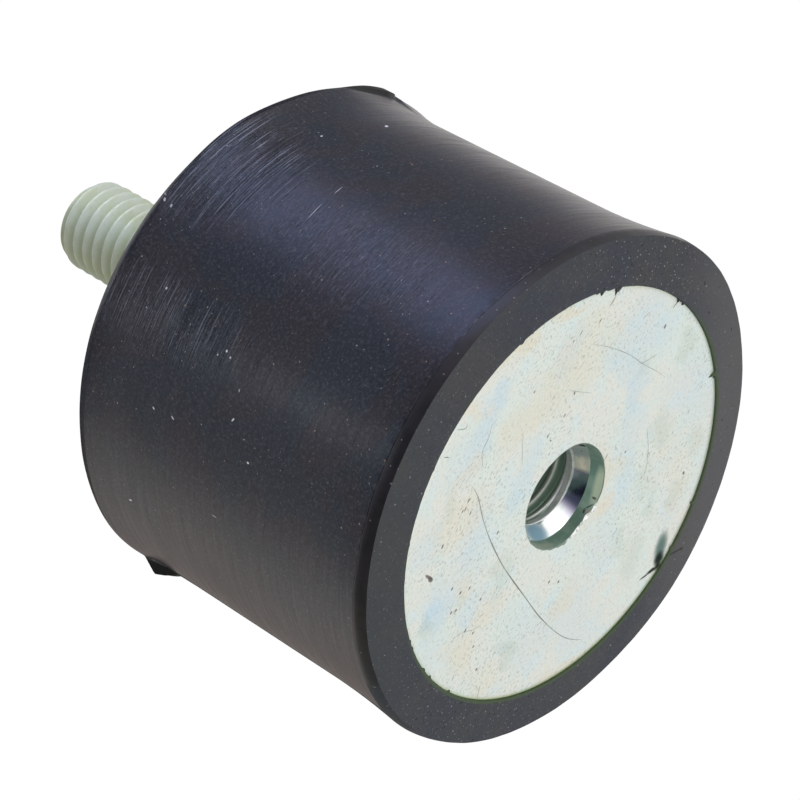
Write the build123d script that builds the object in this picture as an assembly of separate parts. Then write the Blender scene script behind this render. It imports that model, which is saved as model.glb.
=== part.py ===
from build123d import *
import math
import os

# Bobbin vibration mount: a vulcanised rubber cylinder between two steel end plates.
# One plate carries a threaded stud and the other a threaded bush behind a plain hole.
# Origin: centre of the stud plate's outer face, where the mount is bolted down.
# +Z runs along the axis, from the stud plate to the socket plate. Millimetres.

# Rubber body
body_length = 40.0  # between the outer faces of the two plates
body_diameter = 50.6  # along the straight middle
rim_swell = 0.7  # how far the moulded rims at both ends stand out beyond that
socket_flare_length = 9.5  # over which the body swells to the socket end's rim
stud_flare_length = 5.5  # the same at the stud end
rim_bead_height = 1.4  # smooth bead between the socket rim's crest and the face
rim_bead_depth = 0.9  # how far that bead draws in
face_fall = 0.25  # the rubber face drops this much from the plate to the bead
rubber_proud = 0.2  # of the rubber face over the socket plate
lip_slope = 0.15  # slant of the rubber lip round the socket plate
stud_edge_radius = 2.0  # rounding of the rubber at the stud end

# What the mould left on the rubber
flash_protrusion = 0.2  # of the thin crescent of flash on the stud end's rim
flash_half_angle = 26.0  # degrees to each side of -X
flash_bottom = 0.2
flash_thickness = 1.2
gate_height = 3.9  # of the gate stub's tip above the stud plate
gate_reach = 1.3  # of that tip beyond the straight body
gate_foot_below = 1.8
gate_foot_above = 2.1
gate_width = 3.0

# Steel end plates, punched from one sheet
plate_margin = 4.3  # of the straight body's rubber beyond the plates' edges
plate_thickness = 1.5
plate_edge_radius = 0.4  # roll-over of the punched edge, on the bonded side
socket_hole_diameter = 10.5

# M10 x 1.5 thread, shared by the stud and the bush, as plain cylinders
thread_diameter = 10.0
tap_diameter = 8.5

# Threaded bush behind the socket plate
bush_diameter = 16.0
bush_floor = 1.5
bush_edge_chamfer = 0.8
thread_depth = 9.0  # of the bore's full wall, from the bush's mouth
mouth_diameter = 10.2
mouth_angle = 60.0  # degrees, across the lead-in cone
drill_point_angle = 118.0  # degrees, across the drilled end of the bore

# Stud, pressed into the stud plate from the bonded side
stud_length = 28.0  # beyond the stud plate
stud_end_chamfer = 1.2  # at 45 degrees
stud_neck_diameter = 11.0  # the pressed-in neck, as long as the plate is thick
stud_head_diameter = 16.0
stud_head_height = 5.0
stud_head_chamfer = 1.0

# Worked out from the sizes above
body_radius = body_diameter / 2
rim_radius = body_radius + rim_swell
plate_radius = body_radius - plate_margin
thread_radius = thread_diameter / 2
tap_radius = tap_diameter / 2
bush_top = body_length - plate_thickness
mouth_depth = (mouth_diameter - tap_diameter) / 2 / math.tan(math.radians(mouth_angle / 2))
drill_point_depth = tap_radius / math.tan(math.radians(drill_point_angle / 2))
bush_length = thread_depth + drill_point_depth + bush_floor


def turned(points):
    """A solid turned about Z from a closed outline of (radius, height) points."""
    outline = Polyline(*[(radius, 0, height) for radius, height in points], close=True)
    return revolve(make_face(outline), Axis.Z)


def plate_blank(outer_face, inner_face):
    """A punched disc with a rolled-over edge on the side that the rubber holds."""
    low, high = min(outer_face, inner_face), max(outer_face, inner_face)
    disc = Pos(0, 0, low) * Cylinder(
        plate_radius, high - low, align=(Align.CENTER, Align.CENTER, Align.MIN)
    )
    rim = [
        edge
        for edge in disc.edges().filter_by(GeomType.CIRCLE)
        if abs(edge.center().Z - inner_face) < plate_thickness / 4
    ]
    return fillet(rim, plate_edge_radius)


def bush_blank():
    """The turned bush's outside, with the far edge chamfered."""
    bottom = bush_top - bush_length
    radius = bush_diameter / 2
    return turned(
        [
            (0, bottom),
            (radius - bush_edge_chamfer, bottom),
            (radius, bottom + bush_edge_chamfer),
            (radius, bush_top),
            (0, bush_top),
        ]
    )


def bush_bore():
    """The tapped hole as drilled: a lead-in cone, the thread's core and the drill point."""
    core_end = bush_top - thread_depth
    return turned(
        [
            (0, bush_top),
            (mouth_diameter / 2, bush_top),
            (tap_radius, bush_top - mouth_depth),
            (tap_radius, core_end),
            (0, core_end - drill_point_depth),
        ]
    )


def stud_blank():
    """The stud: a head in the rubber, a neck in the plate and the M10 shank with a chamfered end."""
    neck_radius = stud_neck_diameter / 2
    head_radius = stud_head_diameter / 2
    head_top = plate_thickness + stud_head_height
    return turned(
        [
            (0, -stud_length),
            (thread_radius - stud_end_chamfer, -stud_length),
            (thread_radius, stud_end_chamfer - stud_length),
            (thread_radius, 0),
            (neck_radius, 0),
            (neck_radius, plate_thickness),
            (head_radius, plate_thickness),
            (head_radius, head_top - stud_head_chamfer),
            (head_radius - stud_head_chamfer, head_top),
            (0, head_top),
        ]
    )


def body_outline():
    """Half the rubber's section: rounded stud end, flare, straight middle, flare, bead and face."""
    straight_start = stud_edge_radius + stud_flare_length
    bead_start = body_length - rim_bead_height
    straight_end = bead_start - socket_flare_length
    face_edge = body_length + rubber_proud - face_fall
    lip_top = body_length + rubber_proud
    stud_crest = (rim_radius, stud_edge_radius)
    socket_crest = (rim_radius, bead_start)
    bead_top = (rim_radius - rim_bead_depth, face_edge)
    with BuildSketch(Plane.XZ) as section:
        with BuildLine():
            Line((0, 0), (rim_radius - stud_edge_radius, 0))
            TangentArc((rim_radius - stud_edge_radius, 0), stud_crest, tangent=(1, 0))
            TangentArc(
                (body_radius, straight_start),
                stud_crest,
                tangent=(0, -1),
            )
            Line((body_radius, straight_start), (body_radius, straight_end))
            TangentArc((body_radius, straight_end), socket_crest, tangent=(0, 1))
            TangentArc(socket_crest, bead_top, tangent=(0, 1))
            Line(bead_top, (plate_radius + lip_slope, lip_top))
            Line((plate_radius + lip_slope, lip_top), (plate_radius, body_length))
            Line((plate_radius, body_length), (0, body_length))
            Line((0, body_length), (0, 0))
        make_face()
    return section.sketch


def rim_flash():
    """A thin disc set off centre, so that only a crescent of it stands out on the -X side."""
    spread = 1 - math.cos(math.radians(flash_half_angle))
    shift = flash_protrusion / spread
    radius = rim_radius + flash_protrusion - shift
    return Pos(-shift, 0, flash_bottom) * Cylinder(
        radius, flash_thickness, align=(Align.CENTER, Align.CENTER, Align.MIN)
    )


def gate_stub():
    """The torn-off gate: a wedge on the +X side, rooted in the rubber."""
    root = body_radius - gate_reach
    points = [
        (root, 0, gate_height - gate_foot_below),
        (body_radius, 0, gate_height - gate_foot_below),
        (body_radius + gate_reach, 0, gate_height),
        (body_radius, 0, gate_height + gate_foot_above),
        (root, 0, gate_height + gate_foot_above),
    ]
    wedge = make_face(Polyline(*points, close=True))
    return extrude(wedge, amount=gate_width / 2, both=True)


def rubber_body():
    """The rubber, moulded round the steel: its pockets are the steel pieces themselves."""
    rubber = revolve(body_outline(), Axis.Z) + rim_flash() + gate_stub()
    for steel in (
        plate_blank(0, plate_thickness),
        plate_blank(body_length, bush_top),
        bush_blank(),
        stud_blank(),
    ):
        rubber -= steel
    return rubber


def socket_plate():
    """The socket end's plate, with a plain punched hole that a bolt passes."""
    hole = Pos(0, 0, body_length) * Cylinder(socket_hole_diameter / 2, 3 * plate_thickness)
    return plate_blank(body_length, bush_top) - hole


def stud_plate():
    """The stud end's plate, with the hole that the stud's neck fills."""
    return plate_blank(0, plate_thickness) - stud_blank()


def threaded_bush():
    """The blind bush that takes the bolt, closed by its own floor."""
    return bush_blank() - bush_bore()


nodes = {
    "rubber_body": rubber_body,
    "socket_plate": socket_plate,
    "threaded_bush": threaded_bush,
    "stud_plate": stud_plate,
    "stud": stud_blank,
}

os.makedirs("parts", exist_ok=True)
for name, make in nodes.items():
    solid = make()
    export_step(solid, f"parts/{name}.step")
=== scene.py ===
import math

import bpy
import numpy as np
from mathutils import Matrix, Vector


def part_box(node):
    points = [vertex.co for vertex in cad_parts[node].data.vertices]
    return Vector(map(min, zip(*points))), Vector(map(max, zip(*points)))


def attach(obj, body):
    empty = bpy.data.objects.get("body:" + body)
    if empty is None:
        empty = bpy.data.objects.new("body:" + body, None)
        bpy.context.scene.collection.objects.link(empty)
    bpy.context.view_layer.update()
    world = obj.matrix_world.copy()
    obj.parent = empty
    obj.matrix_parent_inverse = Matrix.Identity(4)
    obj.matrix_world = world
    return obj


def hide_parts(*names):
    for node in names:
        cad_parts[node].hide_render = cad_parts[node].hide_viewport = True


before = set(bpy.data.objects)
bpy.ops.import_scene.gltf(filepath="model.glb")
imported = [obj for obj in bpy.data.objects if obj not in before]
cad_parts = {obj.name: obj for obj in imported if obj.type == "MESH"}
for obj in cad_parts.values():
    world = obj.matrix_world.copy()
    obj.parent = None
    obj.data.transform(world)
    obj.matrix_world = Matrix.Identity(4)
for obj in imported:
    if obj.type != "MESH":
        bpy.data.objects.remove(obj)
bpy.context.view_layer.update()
print("frame loaded:", ", ".join(sorted(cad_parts)))

mm = 0.001  # every size below is in millimetres; the scene is in metres
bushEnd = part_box("threaded_bush")[0].z / mm


# 0 below low, 1 above high, a smooth step between
def ease(x, low, high):
    t = np.clip((x - low) / (high - low), 0, 1)
    return t * t * (3 - 2 * t)


# how far each angle is from a middle one, in degrees, the short way round
def turnAway(angles, middle):
    return np.abs((angles - middle + 180) % 360 - 180)


# 1 at the middle angle, falling smoothly to 0 at reach degrees to each side
def hump(angles, middle, reach):
    return 1 - ease(turnAway(angles, middle), 0, reach)


# uneven line round the axis, about -1 to 1: cosines of several wave counts with seeded sizes and phases
def waver(angles, waves, seed):
    rng = np.random.default_rng(seed)
    size = rng.uniform(0.4, 1, len(waves))[:, None]
    phase = rng.uniform(0, 2 * np.pi, len(waves))[:, None]
    turns = np.outer(waves, np.radians(angles))
    return (size * np.cos(turns + phase)).sum(0) / size.sum()


# a value stated at some angles: straight lines between them all the way round, then a running mean
def stated(angles, table, spread=6.0):
    at, value = np.array(table, float).T
    line = np.interp(angles, at, value, period=360)
    half = max(1, int(len(angles) * spread / 360))
    weights = np.hanning(2 * half + 3)[1:-1]
    return np.convolve(np.pad(line, half, mode="wrap"), weights / weights.sum(), "valid")


# Points of a turned shape: x = radius cos(angle), y = radius sin(angle), z = height.
# Rows run along the profile and columns round the axis.
def turned(rows, angles):
    radius = np.stack([np.broadcast_to(r, angles.shape) for r, z in rows])
    height = np.stack([np.broadcast_to(z, angles.shape) for r, z in rows])
    around = np.radians(angles)
    return np.stack([radius * np.cos(around), radius * np.sin(around), height], -1)


def placed(name, data):
    made = bpy.data.objects.new(name, data)
    bpy.context.scene.collection.objects.link(made)
    return made


def meshOf(name, points, faces):
    mesh = bpy.data.meshes.new(name)
    mesh.from_pydata((np.array(points) * mm).tolist(), [], faces)
    return mesh


# A closed skin over a grid of points. Columns always join round; rows join round too where loop is set,
# and otherwise the first and last row are each drawn to a pole at their middle.
def skin(name, grid, loop=False, crease=35, slots=None):
    rows, cols = grid.shape[:2]
    index = np.arange(rows * cols).reshape(rows, cols)
    low = index if loop else index[:-1]
    high = np.roll(index, -1, 0) if loop else index[1:]
    quads = np.stack([low, np.roll(low, -1, 1), np.roll(high, -1, 1), high], -1).reshape(-1, 4)
    points, faces = grid.reshape(-1, 3), quads.tolist()
    if not loop:
        points = np.vstack([points, grid[[0, -1]].mean(1)])
        first, last = index[0], index[-1]
        startPole, endPole = np.full(cols, len(points) - 2), np.full(cols, len(points) - 1)
        faces += np.stack([startPole, np.roll(first, -1), first], -1).tolist()
        faces += np.stack([endPole, last, np.roll(last, -1)], -1).tolist()
    mesh = meshOf(name, points, faces)
    mesh.polygons.foreach_set("use_smooth", np.ones(len(faces), bool))
    mesh.set_sharp_from_angle(angle=math.radians(crease))
    if slots is not None:  # one material number for each band of quads between two rows
        numbers = np.repeat(slots, cols)
        tail = np.zeros(len(faces) - len(numbers), int)
        mesh.polygons.foreach_set("material_index", np.concatenate([numbers, tail]).astype(np.int32))
    mesh.update()
    return placed(name, mesh)


# gives a piece its materials, puts it on the root body and hides the parts it stands for; slot is not used
def finish(piece, materials, slot, *nodes):
    for material in materials:
        piece.data.materials.append(material)
    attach(piece, "root")
    if nodes:
        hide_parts(*nodes)
    print(piece.name, len(piece.data.polygons), "faces")


# one small builder for every material; its tone is the colour so far
class Tree:
    def __init__(self, name):
        self.material = bpy.data.materials.new(name)
        self.material.use_nodes = True
        self.tree = self.material.node_tree
        self.shader = self.tree.nodes["Principled BSDF"]
        self.place = self.vector("SCALE", {0: self.node("TexCoord", {}, "Object"), 3: 1 / mm})
        self.flat = self.place  # where an oval lies unless it is given another place

    # adds a node; inputs are numbers, tuples or other nodes' outputs
    def node(self, kind, inputs, output=0, settings=None):
        made = self.tree.nodes.new("ShaderNode" + kind)
        for key, value in (settings or {}).items():
            setattr(made, key, value)
        for key, value in inputs.items():
            self.put(made.inputs[key], value)
        return made.outputs[output]

    def put(self, socket, value):
        if isinstance(value, bpy.types.NodeSocket):
            self.tree.links.new(value, socket)
        else:
            socket.default_value = value

    # the finished material: the tone, and a value for each socket that is named
    def made(self, **values):
        for key, value in {"Base_Color": self.tone, **values}.items():
            self.put(self.shader.inputs[key.replace("_", " ")], value)
        return self.material

    # another shader in place of the principled one
    def shown(self, shader):
        self.put(self.tree.nodes["Material Output"].inputs["Surface"], shader)
        return self.material

    def vector(self, operation, inputs, output=0):
        return self.node("VectorMath", inputs, output, {"operation": operation})

    def maths(self, operation, values, clamp=False):
        total = values[0]
        for value in values[1:]:
            total = self.node("Math", {0: total, 1: value}, 0, {"operation": operation, "use_clamp": clamp})
        return total

    def times(self, *values, clamp=False):
        return self.maths("MULTIPLY", values, clamp)

    def plus(self, *values):
        return self.maths("ADD", values)

    # shares of masks added up: mask, share, mask, share ...
    def sum(self, *pairs):
        return self.plus(*(self.times(mask, share) for mask, share in zip(pairs[::2], pairs[1::2])))

    def most(self, *values):
        return self.maths("MAXIMUM", values)

    # smooth step of x from 0 at low to 1 at high; low may be above high
    def step(self, x, low, high):
        values = {"Value": x, "From Min": low, "From Max": high}
        return self.node("MapRange", values, settings={"interpolation_type": "SMOOTHSTEP"})

    # from a to b by a share; a plain colour is red, green, blue
    def mix(self, share, a, b):
        a, b = (value + (1,) if isinstance(value, tuple) else value for value in (a, b))
        return self.node("Mix", {0: share, 6: a, 7: b}, 2, {"data_type": "RGBA"})

    # lays a colour over the tone, as far as the shares multiplied
    def over(self, colour, *shares):
        self.tone = self.mix(self.times(*shares), self.tone, colour)

    # the object's coordinates, turned by degrees about Z and stretched
    def spun(self, angle, scale=(1, 1, 1), source=None):
        turn = (0, 0, math.radians(angle))
        return self.node("Mapping", {"Vector": source or self.place, "Rotation": turn, "Scale": scale})

    # distance from the axis
    def reach(self):
        return self.vector("LENGTH", {0: self.vector("MULTIPLY", {0: self.place, 1: (1, 1, 0)})}, "Value")

    # 1 at that radius in one direction, 0 at the axis, -1 opposite
    def towards(self, angle, radius):
        way = (math.cos(math.radians(angle)) / radius, math.sin(math.radians(angle)) / radius, 0)
        return self.vector("DOT_PRODUCT", {0: self.place, 1: way}, "Value")

    # the side laid flat, where ovals then lie: x = angle times radius, y = height
    def unrolled(self, radius):
        parts = self.tree.nodes.new("ShaderNodeSeparateXYZ")
        self.put(parts.inputs[0], self.place)
        along = self.times(self.maths("ARCTAN2", (parts.outputs["Y"], parts.outputs["X"])), radius)
        self.flat, self.radius = self.node("CombineXYZ", {0: along, 1: parts.outputs["Z"]}), radius
        return self.flat

    def noise(self, vector, scale, detail=2.0, rough=0.5, warp=0.0):
        values = {"Vector": vector, "Scale": scale, "Detail": detail, "Roughness": rough}
        return self.node("TexNoise", {**values, "Distortion": warp}, "Fac")

    # coordinates pushed about by a noise of the given scale
    def bent(self, vector, scale, amount):
        push = self.node("TexNoise", {"Vector": vector, "Scale": scale, "Detail": 2.0}, "Color")
        push = self.vector("SUBTRACT", {0: push, 1: (0.5, 0.5, 0.5)})
        return self.vector("ADD", {0: vector, 1: self.vector("SCALE", {0: push, 3: amount})})

    # dots on a flat pattern, in a share of its cells: full in the middle, 0 from radius on, sizes uneven
    def dots(self, vector, scale, radius, share, edge=0.35):
        cells = self.tree.nodes.new("ShaderNodeTexVoronoi")
        cells.voronoi_dimensions = "2D"
        self.put(cells.inputs["Vector"], vector)
        self.put(cells.inputs["Scale"], scale)
        pick = self.tree.nodes.new("ShaderNodeSeparateColor")
        self.put(pick.inputs[0], cells.outputs["Color"])
        chosen = self.maths("LESS_THAN", (pick.outputs[0], share))
        size = self.times(chosen, self.plus(0.45, self.times(pick.outputs[1], 0.55)), radius * scale)
        inside = self.maths("SUBTRACT", (size, cells.outputs["Distance"]))
        return self.step(inside, 0.0, edge * radius * scale)

    # soft oval of radii (a, b) at (x, y), its long side turned by degrees, full within start of its radii
    def oval(self, x, y, a, b, angle=0.0, start=0.4, source=None):
        turn, total = math.radians(angle), 0.0
        away = self.vector("SUBTRACT", {0: source or self.flat, 1: (x, y, 0)})
        for ahead, size in ((turn, a), (turn + math.pi / 2, b)):
            way = (math.cos(ahead) / size, math.sin(ahead) / size, 0)
            part = self.vector("DOT_PRODUCT", {0: away, 1: way}, "Value")
            total = self.node("Math", {0: part, 1: part, 2: total}, 0, {"operation": "MULTIPLY_ADD"})
        return self.step(total, 1.0, start**2)

    # an oval on the unrolled side, by angle and height
    def patch(self, angle, height, *shape):
        return self.oval(math.radians(angle) * self.radius, height, *shape)

    def bump(self, height, distance, strength=1.0):
        return self.node("Bump", {"Height": height, "Distance": distance * mm, "Strength": strength})


rubber = {
    "columns": 900,
    "length": 40.0,
    "bodyRadius": 25.3,
    "rimRadius": 25.95,
    "socketFlare": 9.5,
    "studFlare": 5.5,
    "edgeRadius": 1.95,
    "crestDrop": 1.4,  # of the socket end's crest below the plate's face, as the flare is laid out
    "beadHeight": 1.35,
    "beadRadius": 25.9,  # at its middle, for the pattern laid round it
    # radius of the bead's inner edge by angle: the face isn't quite concentric
    "beadTop": (
        (-165, 25.88), (-150, 25.86), (-128, 25.82), (-112, 25.82), (-102, 25.74), (-82, 25.7),
        (-68, 25.64), (-58, 25.52), (-48, 25.5), (-38, 25.52), (-28, 25.44), (-10, 25.6), (6, 25.58),
        (15, 25.52), (22, 25.43), (30, 25.33), (36, 25.24), (49, 25.2), (60, 25.08), (71, 25.17),
        (84, 25.25), (96, 25.08), (106, 24.98), (116, 24.92), (128, 24.96), (140, 25.07), (147, 25.13),
        (154, 25.31), (161, 25.5), (169, 25.7), (178, 25.86),
    ),
    "plateRadius": 21.0,
    "plateThickness": 1.5,
    "plateRoll": 0.4,
    "rollCorner": 0.117,  # of the roll's middle from its two sides
    # the pockets of the stud's head and the bush
    "headRadius": 8.0,
    "headTop": 6.5,
    "headChamfer": 1.0,
    "bushRadius": 8.0,
    "bushChamfer": 0.8,
    "proud": 0.2,
    "faceFall": 0.25,
    "lip": 0.15,
    # how far the flash stands out by angle, thickest where it was torn
    "flash": (
        (-176, 0), (-174.6, 0.03), (-173.8, 0.14), (-173, 0.32), (-171.8, 0.36), (-170.3, 0.27),
        (-168.5, 0.18), (-167, 0.13), (-165, 0.09), (-162, 0.05), (-159, 0.03), (-156, 0.01), (-153, 0),
    ),
    "flashHeight": 1.5,
    # outline of the torn gate stub: height, radius
    "gate": (
        (0.4, 25.2), (0.73, 25.58), (1.4, 25.83), (2.43, 26.27), (3.0, 26.5), (3.3, 26.59), (3.85, 26.4),
        (4.4, 26.2), (4.9, 25.95), (5.37, 25.62), (5.9, 25.3),
    ),
    "gateMiddle": -2.2,  # degrees
    "gateHalfWidth": 2.1,
    # crumbs of rubber over the plate's edge: angle, half width in degrees, reach inwards
    "crumbs": (
        (-144.8, 0.5, 0.2), (-146.7, 0.6, 0.5), (-149.5, 1.3, 0.16), (-152.4, 0.55, 0.85),
        (-153.3, 0.5, 0.55), (179.7, 0.45, 0.4), (178.4, 0.4, 0.12), (177.1, 0.6, 0.3),
        (145.2, 0.7, 0.85), (144.0, 0.4, 0.3), (-117.9, 0.9, 0.32), (-121.6, 0.3, 0.12),
        (105.4, 0.5, 0.34), (-29.9, 0.4, 0.16), (-27.2, 0.4, 0.12), (-17.3, 0.5, 0.18), (-13.1, 0.5, 0.24),
        (-2.1, 0.6, 0.24), (56.6, 0.4, 0.12), (-80.0, 0.6, 0.12), (-60.0, 0.5, 0.12), (92.0, 0.9, 0.2),
    ),
}


# The rubber is a turned profile whose bead, rear edge, flash, gate stub and lip change with the angle.
# Flares: radius = body + swell t^2, t running from the straight to the crest.
# Bead: an arc from the crest to the face's edge, half flattened to its chord on the far side.
def makeRubber(s):
    angles = np.linspace(-180, 180, s["columns"], endpoint=False)
    length, steel, roll, seat = s["length"], s["plateRadius"], s["plateRoll"], s["plateThickness"]
    body = s["bodyRadius"] + 0.16 * hump(angles, -4, 60)
    rim = s["rimRadius"] + 0.02 + 0.04 * hump(angles, 176, 40)
    rows, slots = [], []

    def add(radius, height, slot):
        rows.append((radius, height))
        slots.append(slot)

    # the pocket of the stud's head and the stud plate
    head, chamfer, corner = s["headRadius"], s["headChamfer"], s["rollCorner"]
    for radius, height in (
        (head - chamfer, s["headTop"]), (head, s["headTop"] - chamfer), (head, seat), (steel - roll, seat),
        (steel - corner, seat - corner), (steel, seat - roll),
    ):
        add(radius, height, 0)

    # underside and rear edge: rounded, but nearly square where the flash stands out
    stand = stated(angles, s["flash"], 1.0)
    flash = (1 - ease(angles, -170, -154)) * ease(angles, -174.8, -173.0)
    edge = s["edgeRadius"] * (1 - 0.85 * flash - 0.18 * hump(angles, -125, 16))
    out = 0.05 * hump(angles, -126, 12) - 0.2 * hump(angles, -45, 34) - 0.2 * hump(angles, -2, 18)
    out = out + 0.015 * waver(angles, (9, 14, 23, 37), 3)
    rear = s["rimRadius"] + stand + out
    add(steel, 0.0, 0)
    add(steel + 1.2, 0.0, 0)
    for t in np.linspace(0, 90, 9):
        around = math.radians(t)
        add(rear - edge + edge * math.sin(around), edge - edge * math.cos(around), 0)
    wall = edge + (s["flashHeight"] - edge) * flash
    add(rear - 0.01 * flash, wall, 0)

    # stud end's flare, dropping off behind the flash, with the gate stub standing out of it on the +X side
    flareEnd = s["edgeRadius"] + s["studFlare"]
    across = turnAway(angles, s["gateMiddle"]) * math.radians(1) * s["bodyRadius"]
    window = 1 - ease(across, s["gateHalfWidth"] - 0.25, s["gateHalfWidth"])
    swell = rear - stand - 0.15 * flash - body
    slant = np.clip(angles + 1, -6, 0)  # the stub was torn off aslant
    for t in np.linspace(0, 1, 27)[1:]:
        height = wall + 0.12 * flash + (flareEnd - wall - 0.12 * flash) * t
        radius = body + swell * (1 - t) ** 2
        stub = np.interp(height + 0.32 * slant, *np.array(s["gate"]).T)
        stub = stub - 0.02 * slant - 0.25 * ease(angles, -1, 4)
        add(radius + np.maximum(stub - radius, 0) * window, height, 0)

    # straight middle
    flareStart = length - s["crestDrop"] - s["socketFlare"]
    for height in np.linspace(flareEnd, flareStart, 9)[1:]:
        add(body, height, 0)

    # socket end's flare and bead
    faceEdge = length + s["proud"] - s["faceFall"]
    beadHeight = s["beadHeight"] - 0.35 * hump(angles, -168, 22) + 0.06 * waver(angles, (5, 11, 17, 29), 5)
    beadTop = stated(angles, s["beadTop"]) + 0.02 * waver(angles, (19, 37, 53, 71), 6)
    depth = rim - beadTop
    crest = faceEdge - beadHeight
    near = hump(angles, -95, 80)
    ridge = 0.012 * near * (1 + waver(angles, (61, 97, 151, 211), 8))
    for t in np.linspace(0, 1, 14)[1:]:
        add(body + (rim - body) * t**2, flareStart + (crest - flareStart) * t, 0)
    add(rim + ridge, crest + 0.05, 0)
    slots[-1] = 1
    add(rim - 0.01 - ridge, crest + 0.12, 1)
    bend = (depth**2 + beadHeight**2) / (2 * depth)
    whole = 2 * np.arctan2(depth, beadHeight)
    full = 0.5 + 0.5 * ease(turnAway(angles, 80), 75, 110)
    for t in np.linspace(0, 1, 10)[1:]:
        arcIn, arcUp = bend * (1 - np.cos(whole * t)), bend * np.sin(whole * t)
        flatIn, flatUp = depth * t * (1 - full), beadHeight * t * (1 - full)
        add(rim - arcIn * full - flatIn, crest + arcUp * full + flatUp, 1)

    # face: a shallow cone up to the lip round the plate
    slots[-1] = 2
    lipOut = steel + s["lip"] + 0.04 * waver(angles, (13, 29, 61, 97), 11)
    bulge = 0.03 * waver(angles, (3, 5, 7), 13)
    for t in np.linspace(0, 1, 12)[1:]:
        swell = bulge * math.sin(math.pi * t)
        add(beadTop + (lipOut - beadTop) * t, faceEdge + s["faceFall"] * t + swell, 2)
    crumbs = sum(reach * hump(angles, middle, half) ** 0.5 for middle, half, reach in s["crumbs"])
    edgeIn = steel - 0.02 - crumbs + 0.02 * waver(angles, (41, 83, 127), 17)
    add(lipOut * 0.35 + edgeIn * 0.65, length + s["proud"] - 0.03 - 0.05 * np.clip(crumbs, 0, 1), 2)
    add(edgeIn, length + 0.012, 2)
    add(steel, length - 0.03, 2)

    # the pocket of the socket plate and the bush
    wide, chamfer, back = s["bushRadius"], s["bushChamfer"], length - seat
    for radius, height in (
        (steel, back + roll), (steel - corner, back + corner), (steel - roll, back), (wide, back),
        (wide, bushEnd + chamfer), (wide - chamfer, bushEnd),
    ):
        add(radius, height, 0)
    return skin("rubberBody", turned(rows, angles), crease=38, slots=np.array(slots[:-1]))


# marks on the side: angle, height, half length, half width, turn, brightness of a pale one or 0 for a pit
# painted dark as shade
sideMarks = (
    (-150.4, 10.0, 0.34, 0.2, 30, 1.0), (-135.2, 8.1, 0.16, 0.15, 0, 0.8),
    (-102.2, 1.7, 0.3, 0.16, 50, 0.6), (-101.8, 2.7, 0.22, 0.12, 20, 0.6),
    (-103.4, 1.2, 0.4, 0.1, 70, 0.4), (-86.4, 7.2, 0.16, 0.13, 0, 0.7),
    (-35.3, 7.3, 0.3, 0.12, 110, 0.9), (-62.7, 13.2, 0.28, 0.1, 60, 0.7),
    (-62.3, 10.6, 0.2, 0.11, 60, 0.8), (-69.5, 20.4, 0.26, 0.1, 150, 0.9),
    (-62.9, 23.4, 0.17, 0.12, 80, 0.9), (-75.6, 20.0, 0.2, 0.08, 20, 0.5),
    (-81.4, 16.9, 0.16, 0.14, 0, 0.8), (-80.6, 17.6, 0.13, 0.12, 0, 0.7), (-79.8, 16.1, 0.12, 0.1, 0, 0.6),
    (-34.2, 15.5, 0.16, 0.13, 0, 0.0), (-34.1, 16.5, 0.18, 0.14, 0, 0.0), (-35.5, 16.1, 0.09, 0.08, 0, 0.0),
    (-123.6, 15.7, 0.7, 0.06, 4, 0.5), (-116.4, 15.8, 1.3, 0.05, 4, 0.5), (-46.3, 19.8, 0.08, 0.4, 0, 0.4),
)
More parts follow.
